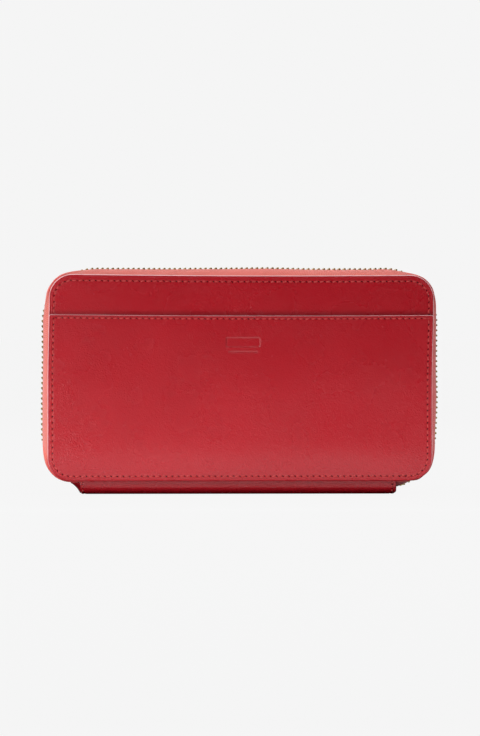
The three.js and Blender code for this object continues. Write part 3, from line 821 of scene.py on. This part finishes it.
def tape(name, side):
    """A zip tape: sewn in under the cover, puffed out over its edge and clamped by the teeth."""
    count, across = len(CHAIN), 18
    t = np.linspace(0, 1, across)[:, None, None]
    clamp, rim = CHAIN_MOVED + CHAIN_OUT * 0.3, RIM + settle(RIM[:, 0], RIM[:, 1])
    reach = np.sum((clamp - rim) * RIM_OUT, axis=1)
    start = np.stack([rim[:, 0], np.full(count, LEATHER_FACE - 1.45), rim[:, 1]], 1)[None]
    end = np.stack([clamp[:, 0], np.full(count, GRIP), clamp[:, 1]], 1)[None]
    out = np.stack([RIM_OUT[:, 0], np.zeros(count), RIM_OUT[:, 1]], 1)[None]
    h00, h10 = 2 * t**3 - 3 * t**2 + 1, t**3 - 2 * t**2 + t
    h01, h11 = -2 * t**3 + 3 * t**2, t**3 - t**2
    puffs = np.linspace(2, 30, 57)
    crests = np.max(h10 * puffs[None, :, None] + h01 * reach - h11 * DIVE, axis=0)
    wanted = np.maximum(reach, np.where(rim[:, 0] < 0, *LEAST_CREST))
    puff = np.array([np.interp(goal, crests[:, i], puffs) for i, goal in enumerate(wanted)])
    leave = out * puff[None, :, None] + np.array([0, 0.8, 0])
    arrive = np.array([0, -10.0, 0]) - out * DIVE
    sheet = h00 * start + h10 * leave + h01 * end + h11 * arrive
    pucker = waver(CHAIN, 5 + side, 0.28, 5.5)[None, :, None] * np.sin(np.pi * t) * (1 - t * 0.6)
    sheet = np.concatenate([start - out * HEM, sheet + out * pucker])
    sheet[..., 1] *= side
    tuck = np.array([TUCK, 0, 0])
    sheet = np.concatenate([sheet[:, :1] - tuck, sheet, sheet[:, -1:] + tuck], axis=1)
    down = np.r_[-HEM, np.linspace(0, SHOWING, across)]
    lengths = np.r_[-TUCK, CHAIN_LENGTHS, CHAIN_LENGTHS[-1] + TUCK]
    uvs = np.stack(np.broadcast_arrays(lengths[None, :], down[:, None]), 2)
    faces = loft(sheet, False)
    if side < 0:
        faces = flip(faces)
    obj = mesh_object(name, sheet.reshape(-1, 3), faces, [MAIN_TAPE_CORAL], uvs=uvs.reshape(-1, 2))
    thicken(obj, 0.5)
    return obj


TOOTH_SECTIONS = (  # across the chain: (distance past the middle, half length, half thickness)
    (-3.0, 0.42, 1.0),
    (-2.85, 0.5, 1.15),
    (-1.75, 0.5, 1.2),
    (-1.35, 0.44, 1.05),
    (-0.75, 0.40, 0.9),
    (-0.2, 0.52, 0.95),
    (0.25, 0.50, 0.85),
    (0.48, 0.34, 0.6),
)
OCTAGON = ((1, 0.6), (0.7, 1), (-0.7, 1), (-1, 0.6), (-1, -0.6), (-0.7, -1), (0.7, -1), (1, -0.6))


def teeth(name, side, first, end, lean):
    """A row of teeth. lean is how far it stands out past the chain's middle line."""
    verts, faces = [], []
    for s in np.arange(first, end, TOOTH_PITCH):
        ox, oz = (np.interp(s, CHAIN_LENGTHS, CHAIN_OUT[:, k]) for k in (0, 1))
        x, z = (np.interp(s, CHAIN_LENGTHS, CHAIN_MOVED[:, k]) + lean * (ox, oz)[k] for k in (0, 1))
        base = len(verts)
        for reach, half_long, half_thick in TOOTH_SECTIONS:
            for a, b in OCTAGON:
                along, out = a * half_long, b * half_thick
                verts.append((x - oz * along + ox * out, -side * reach, z + ox * along + oz * out))
        rows, sides = len(TOOTH_SECTIONS), len(OCTAGON)
        for i in range(rows - 1):
            for j in range(sides):
                p, q = base + i * sides + j, base + i * sides + (j + 1) % sides
                faces.append((p, q, q + sides, p + sides))
        faces.append(tuple(reversed(range(base, base + sides))))
        faces.append(tuple(range(base + sides * (rows - 1), base + sides * rows)))
    if side > 0:
        faces = flip(faces)
    return mesh_object(name, verts, faces, [BRASS], smooth=False)


def build_main_zip():
    row_end = CHAIN_LENGTHS[-1] - BARE_END
    for side, word, first, lean in ((FRONT, "front", 3.7, -0.05), (BACK, "back", 6.8, -0.4)):
        cloth = tape(f"{word}_tape_cloth", side)
        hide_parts(f"{word}_zip_tape")
        row = teeth(f"{word}_teeth_row", side, first, row_end, lean)
        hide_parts(f"{word}_zip_teeth")
        hang(cloth, side, (2.6, 10.6), (8.7, 12.7))
        hang(row, side, (0, 12.6), (0, 32.4))  # heights as for the cloth at GRIP, which hang() does not use


def hang(obj, side, start, end, inset=0):
    """Bakes the transform of a soft piece between the spine and a cover into its mesh; it does not
    bend it. start and end are (distance from the middle plane, height), and inset is how far inside
    them the piece lies; none of the three is used."""
    start, end = ((0, side * (y - inset) * MM, z * MM) for y, z in (start, end))
    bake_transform(obj)


# ---------------------------------------- covers


FRONT_SWELL, BACK_SWELL = swell(7), swell(23)
COVER_OUTLINE = Outline(HALF_WIDTH - NARROWED, BOTTOM, TOP, CORNER, margins=COVER_MARGINS)


def with_settling(path):
    return path + settle(path[:, 0], path[:, 1])


def level_run(left, right, z, count=300):
    """Evenly spaced points along a level line."""
    return np.stack([np.linspace(left, right, count), np.full(count, z)], 1)


def from_gap(path, keep):
    """The kept part of a closed path as one run."""
    part, index = path[keep], np.flatnonzero(keep)
    breaks = np.flatnonzero(np.diff(index) > 1)
    return np.roll(part, -(breaks[0] + 1), axis=0) if len(breaks) else part


def stand_for(obj, node, body):
    """Puts a piece in a CAD node's place, moving with one body."""
    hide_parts(node)
    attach(obj, body)


def build_cover(side):
    word, body = ("front", "front_cover") if side < 0 else ("back", "back_cover")
    bulge = FRONT_SWELL if side < 0 else BACK_SWELL

    def slit(x, z):
        """The front cover is pressed in where the slip pocket's mouth lies on it."""
        return 0.25 * np.exp(-(((z - POCKET_TOP - 0.2) / 0.6) ** 2)) * (side < 0)

    colors = [FRONT_RED if side < 0 else COVER_RED, PINK_EDGE]
    skin = panel(
        f"{word}_cover_skin", COVER_OUTLINE, side, LEATHER_FACE - 1.1, LEATHER_FACE, colors,
        lift=bulge, dent=slit,
    )
    stand_for(skin, f"{word}_outer_leather", body)
    path = COVER_OUTLINE.path(SEAM_INSET)
    if side < 0:
        path = from_gap(path, path[:, 1] > POCKET_TOP)

    def level(x, z):
        return LEATHER_FACE + bulge(x, z) - GROOVE_DEPTH

    stitches(f"{word}_cover_sewing", with_settling(path), side, level, body)


def build_slip_pocket():
    outline = Outline(HALF_WIDTH - NARROWED, BOTTOM, POCKET_TOP, CORNER, 1.2, POCKET_MARGINS)
    skin = panel(
        "slip_pocket_skin", outline, FRONT, LEATHER_FACE, POCKET_FACE, [POCKET_RED, PINK_EDGE],
        lift=FRONT_SWELL, lift_hidden=True,
    )
    stand_for(skin, "front_slip_pocket", "front_cover")
    path = COVER_OUTLINE.path(SEAM_INSET)
    mouth_z = POCKET_TOP - SEAM_INSET * POCKET_MARGINS[2]
    below = from_gap(path, path[:, 1] < mouth_z)
    mouth = level_run(-HALF_WIDTH + 4.2, HALF_WIDTH - 3.4, mouth_z, 400)
    tack = np.array([[81.0, BOTTOM + 3.0], [86.5, BOTTOM + 2.7]])

    def level(x, z):
        return POCKET_FACE + FRONT_SWELL(x, z) - GROOVE_DEPTH

    for name, line in (("sewing", below), ("mouth_sewing", mouth), ("tack", tack)):
        stitches(f"slip_pocket_{name}", with_settling(line), FRONT, level, "front_cover")


# ---------------------------------------- linings and inside pockets


def inside_panel(node, side, low_radius, high_radius, body, dent=None):
    """A panel of lining leather whose good side faces the middle of the wallet."""
    low, high = box_mm(node)
    hidden, face = (-low[1], -high[1]) if side < 0 else (high[1], low[1])
    outline = Outline(high[0], low[2], high[2], low_radius, high_radius)
    skin = panel(
        node + "_skin", outline, side, hidden, face, [LINING_RED, DARK_EDGE],
        seam=INSIDE_SEAM, dent=dent, settled=False,
    )
    stand_for(skin, node, body)
    return outline, face


def inside_stitches(name, path, side, face, body):
    stitches(
        name, path, side, lambda x, z: face + 0.2, body,
        pitch=3.4, turn=-1, width=0.5, hole_length=0.45,
    )


def build_linings():
    for side, word in ((FRONT, "front"), (BACK, "back")):
        body = f"{word}_cover"
        outline, face = inside_panel(f"{word}_lining", side, 10, 10, body)
        inside_stitches(f"{word}_lining_sewing", outline.path(INSIDE_SEAM), side, face, body)


def build_card_pockets():
    tops = [box_mm(f"card_pocket_{k}")[1][2] for k in (1, 2, 3, 4)] + [15.0]
    for k in range(4):
        node = f"card_pocket_{k + 1}"

        def fold(x, z, top=tops[k]):
            """A crease under the pocket's turned edge and one down its middle."""
            edge = 0.12 * np.exp(-(((z - top + 4.2) / 0.25) ** 2))
            return edge + 0.3 * np.exp(-((x / 0.6) ** 2))

        outline, face = inside_panel(node, FRONT, 24, 3, "front_cover", dent=fold)
        edge = level_run(-88, 88, tops[k] - INSIDE_SEAM)
        inside_stitches(node + "_edge_sewing", edge, FRONT, face, "front_cover")
        zs = np.linspace(tops[k + 1] + 0.6, tops[k] - 3.2, 40)
        middle = np.stack([0 * zs, zs], 1)
        inside_stitches(node + "_middle_sewing", middle, FRONT, face + 0.2, "front_cover")
        border = outline.path(INSIDE_SEAM)
        keep = (border[:, 1] > tops[k + 1] + 0.5) & (border[:, 1] < tops[k] - 3)
        for word, turn in (("left", -1), ("right", 1)):
            part = from_gap(border, keep & (border[:, 0] * turn > 0))
            inside_stitches(f"{node}_{word}_sewing", part, FRONT, face, "front_cover")


def build_coin_pocket():
    outline, face = inside_panel("note_pocket", BACK, 24, 8, "back_cover")
    top = box_mm("note_pocket")[1][2]
    edge = level_run(-86, 86, top - INSIDE_SEAM)
    inside_stitches("note_pocket_sewing", edge, BACK, face, "back_cover")
    panels = (("coin_pocket_panel", 24, 1), ("coin_pocket_header", 1, 8))
    for node, low_radius, high_radius in panels:
        outline, face = inside_panel(node, BACK, low_radius, high_radius, "back_cover")
        inside_stitches(node + "_sewing", outline.path(INSIDE_SEAM), BACK, face, "back_cover")
    for word in ("lower", "upper"):
        coin_tape(word)
        coin_coil(word)


def coin_tape(word):
    """A flat woven strip behind the coin pocket's opening."""
    low, high = box_mm(f"coin_tape_{word}")
    xs, zs = np.linspace(low[0], high[0], 120), np.linspace(low[2], high[2], 10)
    ripple = waver(np.stack([xs, 0 * xs], 1), 31 + len(word), 0.05, 9)
    grid = np.array([[(x, low[1] + 0.05 + ripple[i], z) for z in zs] for i, x in enumerate(xs)])
    uvs = np.array([[(x + 100, z) for z in zs] for x in xs])
    faces = loft(grid, False)
    obj = mesh_object(
        f"coin_tape_{word}_cloth", grid.reshape(-1, 3), faces, [TAPE_CORAL], uvs=uvs.reshape(-1, 2)
    )
    thicken(obj, 0.3)
    stand_for(obj, f"coin_tape_{word}", "back_cover")


def coin_coil(word):
    """Half of the coin zip's coil: a flattened spiral of round wire along X."""
    low, high = box_mm(f"coin_coil_{word}")
    pitch, wire, sides, per_turn = 1.4, 0.26, 6, 14
    turns = int((high[0] - low[0] - 1) / pitch)
    t = np.linspace(0, turns, turns * per_turn + 1)
    middle_z, middle_y = (low[2] + high[2]) / 2, (low[1] + high[1]) / 2
    a = 2 * np.pi * t
    shift = 0.35 if word == "lower" else -0.35
    xs = low[0] + 0.5 + pitch * t + (0 if word == "lower" else pitch / 2)
    ys = middle_y + 0.34 * np.cos(a)
    zs = middle_z + shift + (high[2] - low[2] + 0.5) / 2 * np.sin(a)
    line = np.stack([xs, ys, zs], 1)
    tangent = unit(np.gradient(line, axis=0))
    across = unit(np.cross(tangent, [1, 0, 0]))
    other = np.cross(tangent, across)
    angle = np.linspace(0, 2 * np.pi, sides, endpoint=False)
    cosines, sines = np.cos(angle)[None, :, None], np.sin(angle)[None, :, None]
    tube = line[:, None] + wire * (across[:, None] * cosines + other[:, None] * sines)
    faces = flip(loft(tube, True))
    last = (len(line) - 1) * sides
    faces += [tuple(range(sides)), tuple(reversed(range(last, last + sides)))]
    obj = mesh_object(f"coin_coil_{word}_wire", tube.reshape(-1, 3), faces, [BRASS])
    stand_for(obj, f"coin_coil_{word}", "back_cover")


# ---------------------------------------- spine


SPINE_HALF, SPINE_RADIUS = 10.2, 4.0
SPINE_WALL, SPINE_TOP = 6.2, 8.2  # heights between which it stands upright
SPINE_BEND = (9.8, 4.4), (10.4, 7.4)  # (distance, height) where a cover would start and end to bend it; hang() takes them but bends nothing
SPINE_SUNK = 0.15  # how deep its sewing lies


def spine_strip(name, side, inset, thickness, material):
    """Half of a leather U, from the middle of its underside up behind a cover."""
    left, right = SPINE_LOW[0], SPINE_HIGH[0]
    half, radius = SPINE_HALF - inset, SPINE_RADIUS - inset
    flat = half - radius
    arc = np.radians(np.linspace(-90, 0, 13))
    ys = np.r_[np.linspace(0, flat, 6)[:-1], flat + radius * np.cos(arc), half + 0.05, half + 0.15]
    zs = np.r_[np.zeros(5), radius + radius * np.sin(arc), SPINE_WALL - inset, SPINE_TOP - inset]
    length, round_off = 160, 1.5  # length is near enough to place the points by
    from_end = np.r_[0, 0.25, 0.6, 1.1, 1.6, 2.1, 2.6, 3.2, 4.5]
    t = np.r_[from_end / length, np.linspace(0.04, 0.96, 56), 1 - from_end[::-1] / length]
    turned = np.clip(round_off - zs, 0, round_off)
    cut = round_off - np.sqrt(round_off**2 - turned**2) if inset == 0 else 0 * zs
    begin, finish = left + 0.5 - 0.16 * zs, right - cut
    share = t[:, None]
    xs = begin[None] * (1 - share) + finish[None] * share
    grid = np.stack([xs, 0 * share + ys, 0 * share + zs], 2)
    outward = np.stack([0 * ys, np.clip(ys - flat, 0, None), np.clip(zs - radius, None, 0)], 1)
    outward /= np.maximum(np.linalg.norm(outward, axis=1), 1e-6)[:, None]
    inward = np.minimum(t, 1 - t) * length
    sewn, edge = np.exp(-(((inward - 1.7) / 0.5) ** 2)), np.exp(-((inward / 0.3) ** 2))
    pinch = 0.2 * sewn + 0.4 * edge
    grid = grid - pinch[:, None, None] * outward[None] + np.array([0, 0, inset])
    grid[..., 1] *= side
    faces = loft(grid, False)
    if side < 0:
        faces = flip(faces)
    obj = mesh_object(name, grid.reshape(-1, 3), faces, [material])
    thicken(obj, thickness)
    hang(obj, side, *SPINE_BEND, inset)
    return obj


def spine_level(x, z):
    """How far the spine's sewing lies from the middle plane at a height."""
    dip = max(SPINE_RADIUS - z, 0)
    return SPINE_HALF - SPINE_RADIUS + math.sqrt(SPINE_RADIUS**2 - dip**2) - SPINE_SUNK


def build_spine():
    for side, word in ((FRONT, "front"), (BACK, "back")):
        skin = spine_strip(f"spine_skin_{word}", side, 0, 1.0, COVER_RED)
        lining = spine_strip(f"spine_lining_{word}", side, 1.15, 0.5, LINING_RED)
        if side < 0:
            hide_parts("spine_leather")
            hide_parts("spine_lining")
        for end, foot, head in (("left", -79.1, -80.0), ("right", 76.6, 76.9)):
            path = np.array([[foot, 0.7], [head, 6.9]])
            name = f"spine_{end}_sewing_{word}"
            for obj in stitches(name, path, side, spine_level, None, pitch=2.4):
                hang(obj, side, *SPINE_BEND)


def build_end_tab():
    """A soft tab that closes the spine's left end, from its underside up to the covers' edge."""
    grid = []
    for share in np.linspace(-1, 1, 41):
        rise = 5.0 * abs(share) ** 3
        mouth, tip = np.array([-80.3, 8 * share, 0.4 + rise]), np.array([-85.2, 8 * share, 5.8])
        t = np.linspace(0, 1, 9)[:, None]
        bow = np.array([0.35, 0, 0.35]) * np.sin(np.pi * t)
        grid.append(mouth * (1 - t) + tip * t + bow)
    faces = flip(loft(np.array(grid), False))
    obj = mesh_object("spine_end_tab_skin", np.concatenate(grid), faces, [COVER_RED])
    thicken(obj, 0.6, offset=0)
    stand_for(obj, "spine_end_tab", "spine")


# ---------------------------------------- CAD parts shown as they are


def dress_nodes():
    finishes = {"cover_leather": COVER_RED, "lining_leather": LINING_RED, "zip_tape": TAPE_CORAL}
    finishes |= {"brass": BRASS, "board": BOARD}
    slots = {row["node"]: row["material_slot"] for row in frame["record"]["subparts"]}
    for node, obj in frame["nodes"].items():
        obj.data.materials.clear()
        obj.data.materials.append(finishes[slots[node]])
        if slots[node] == "brass" and "teeth" not in node and "coil" not in node:
            bevel = obj.modifiers.new("worn_edges", "BEVEL")
            bevel.width, bevel.segments, bevel.limit_method = 0.12 * MM, 2, "ANGLE"
            bevel.angle_limit = math.radians(35)


# ---------------------------------------- assembly

make_camera()
make_lights()
make_world()
make_stage()
build_cover(FRONT)
build_cover(BACK)
build_slip_pocket()
build_spine()
build_end_tab()
build_main_zip()
build_linings()
build_card_pockets()
build_coin_pocket()
dress_nodes()
